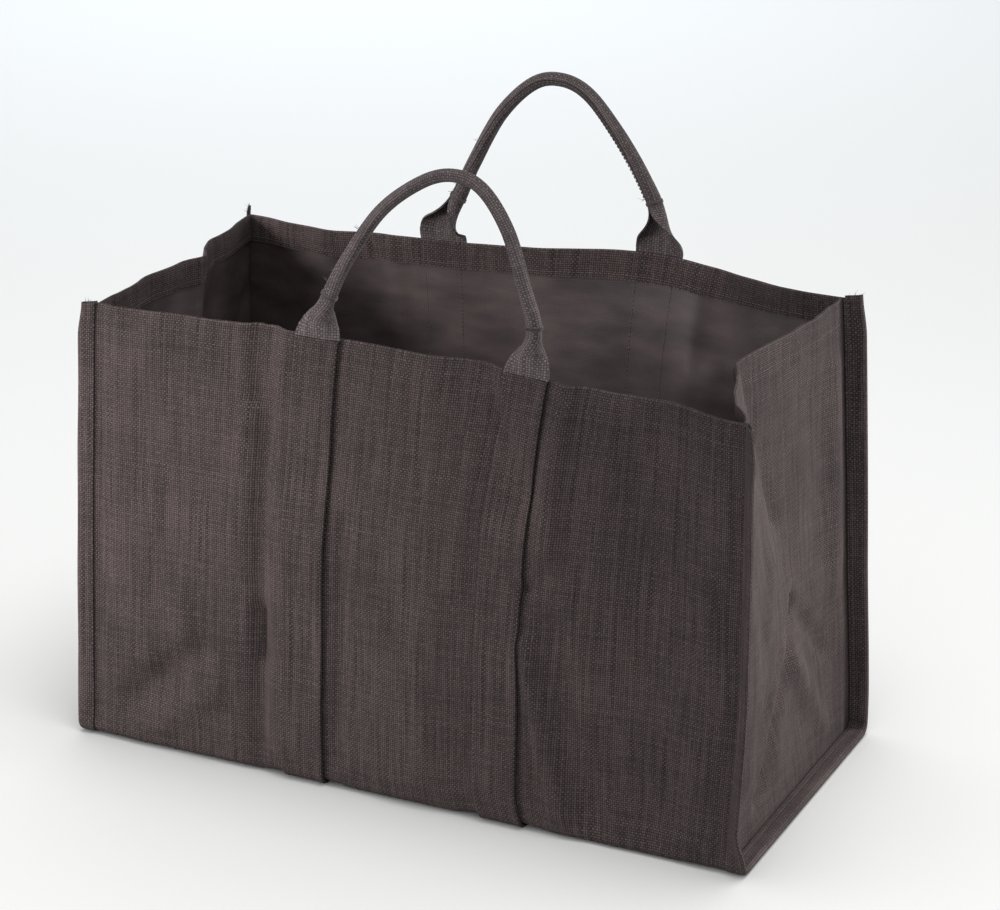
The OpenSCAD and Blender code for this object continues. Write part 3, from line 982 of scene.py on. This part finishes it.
for name, side in (("left_strap", -1), ("right_strap", 1)):
    rows = []
    for edge in (-1, 1):
        x = side * strap_x + edge * (strap_half - STITCH_INSET)
        rows.append((u_row(x, -STRAP_T, rim_z - STITCH_INSET), outwards))
        rows.append((u_row(x, CLOTH_T, hem_z), inwards))
        for face in (-1, 1):
            y = face * (half_depth - 2 * CLOTH_T)
            top, bottom = (x, y, rim_z - STITCH_INSET), (x, y, hem_row_z + 2 * MM)
            rows.append(([top, bottom] if face < 0 else [bottom, top], inwards))
    sew(name + "_stitches", rows, "bag", name + "_stitching")

HEM_ROW_PARTS = 40
hem_rows = []
for face in (-1, 1):
    off_face = Vector((0, face, 0))
    strap_sides = (-half_length, -strap_x - strap_half, -strap_x + strap_half, strap_x - strap_half,
                   strap_x + strap_half, half_length)
    for low, high in zip(strap_sides[::2], strap_sides[1::2]):
        start, end = Vector((low, face * half_depth, hem_row_z)), Vector((high, face * half_depth, hem_row_z))
        row = [start.lerp(end, i / HEM_ROW_PARTS) for i in range(HEM_ROW_PARTS + 1)]
        hem_rows.append((row, lambda along, spot, n=off_face: n))
    inner = half_length - 3 * CLOTH_T
    row = [(x, face * (half_depth - 2 * CLOTH_T), hem_row_z) for x in steps(-inner, inner)]
    hem_rows.append((row, lambda along, spot, n=off_face: -n))
sew("body_hem_stitches", hem_rows, "bag", "body_hem_stitching")

for name, side in (("left_end", -1), ("right_end", 1)):
    reach = half_depth - 3 * CLOTH_T
    off_end = Vector((side, 0, 0))
    rows = []
    for x, way in ((half_length, 1), (half_length - 2 * CLOTH_T, -1)):
        row = [(side * x, y, hem_row_z) for y in steps(-reach, reach)]
        rows.append((row, lambda along, spot, n=off_end * way: n))
    sew(name + "_hem_stitches", rows, "bag", name + "_hem_stitching")

for name, side in (("left_binding", -1), ("right_binding", 1)):
    x = side * (tape_start + STITCH_INSET)
    rows = [(u_row(x, -TAPE_T, rim_z), outwards), (u_row(x, 2 * CLOTH_T + TAPE_T, rim_z), inwards)]
    sew(name + "_stitches", rows, "bag", name + "_stitching")

for name, line, face in (("front_handle", front_line, -1), ("back_handle", back_line, 1)):
    seam_start = FLARE[face] + 7 * MM
    sewn = from_to(line, seam_start, seam_start)
    middles = [grip_centre(station, face)[0] for station in sewn]
    seam = [band_point(station, SEAM_AT, face, GRIP_T / 2 - 0.2 * MM) for station in sewn]

    def off_grip(along, spot, middles=middles):
        return spot - min(middles, key=lambda middle: (middle - spot).length)

    sew(name + "_seam_stitches", [(seam, off_grip)], name, name + "_seam_stitching", settled=False)

    tack_run = steps(0, WINDINGS, 1 / 6)
    shares = steps(-0.5, 0.5, 0.04)
    shares.append(shares[0])
    rolls = []
    for end in (0, 1):
        def winding_point(share, turns, end=end):
            total = line[0][5]
            run = FLARE[face] + 1 * MM + turns * WINDING_PITCH
            run = total - run if end else run
            k = min(int(run / total * (len(line) - 1)), len(line) - 2)
            part = run / total * (len(line) - 1) - k
            lift = GRIP_T / 2 - 0.3 * MM + 0.5 * MM * abs(math.sin(math.pi * turns))
            before, after = (band_point(line[i], share, face, lift) for i in (k, k + 1))
            return before.lerp(after, part)

        roll = lay_sheet(f"{name}_winding_{end}", shares, tack_run, winding_point)
        close_ends(roll)
        rolls.append(roll)
    bpy.ops.object.select_all(action="DESELECT")
    for roll in rolls:
        roll.select_set(True)
    bpy.context.view_layer.objects.active = rolls[0]
    bpy.ops.object.join()
    rolls[0].name = name + "_windings"
    rolls[0].data.materials.append(dark_thread)
    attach(rolls[0], name)
    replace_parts(rolls[0], name + "_bar_tacks")

# ---- The frayed ends ----
# Where a tape is cut off at the rim, and at the ends of the grips, single threads stand out loose.
# Each is one thin curved thread.
THREAD_R = 0.16 * MM
random.seed(7)
one_thread = lay_sheet("one_thread", [0, 1, 2, 3, 4], steps(0, 1, 0.2),
                       lambda k, share: (share, THREAD_R * (1.2 - share) * math.cos(math.tau * k / 4),
                                         THREAD_R * (1.2 - share) * math.sin(math.tau * k / 4)))
thread_points = [vertex.co.copy() for vertex in one_thread.data.vertices]
thread_faces = [tuple(face.vertices) for face in one_thread.data.polygons]
bpy.data.objects.remove(one_thread)


def tuft(points, faces, root, lean, count, length, spread):
    """Loose threads that stand out from about one place, mostly along one direction."""
    for _ in range(count):
        along = (lean.normalized() + Vector([random.uniform(-0.6, 0.6) for _ in range(3)])).normalized()
        bend = Vector([random.uniform(-0.7, 0.7) for _ in range(3)])
        reach = length * random.uniform(0.5, 1)
        foot = root + Vector([random.uniform(-1, 1) for _ in range(3)]) * spread
        beside = along.orthogonal().normalized()
        up = along.cross(beside)
        start = len(points)
        points.extend(foot + (along * p.x + bend * p.x * p.x * 0.5) * reach + beside * p.y + up * p.z
                      for p in thread_points)
        faces.extend(tuple(start + corner for corner in face) for face in thread_faces)


points, faces = [], []
for side in (-1, 1):
    for face in (-1, 1):
        for out in (0.3, 0.6, 0.9):
            root = settle((side * (half_length + SEAM * out), face * (half_depth - CLOTH_T), rim_z))
            tuft(points, faces, root, Vector((side * 0.7, face * 0.2, 1)), 4, 5 * MM, 1.5 * MM)
tape_ends = new_piece("tape_end_threads", points, faces, dark_thread)
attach(tape_ends, "bag")

FRAYS = (0.13, 0.15, 0.27, 0.86)      # places along a handle, as shares of its run
for name, line in (("front_handle", front_line), ("back_handle", back_line)):
    points, faces = [], []
    for share in FRAYS:
        spot, _, inward, out = line[round(share * (len(line) - 1))][:4]
        way = -inward if share < 0.5 else inward
        root = spot - out * GRIP_R + way * (GRIP_R + 1 * MM)
        tuft(points, faces, root, way + out * -0.3, 4, 6 * MM, 1 * MM)
    ends = new_piece(name + "_loose_threads", points, faces, dark_thread)
    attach(ends, name)
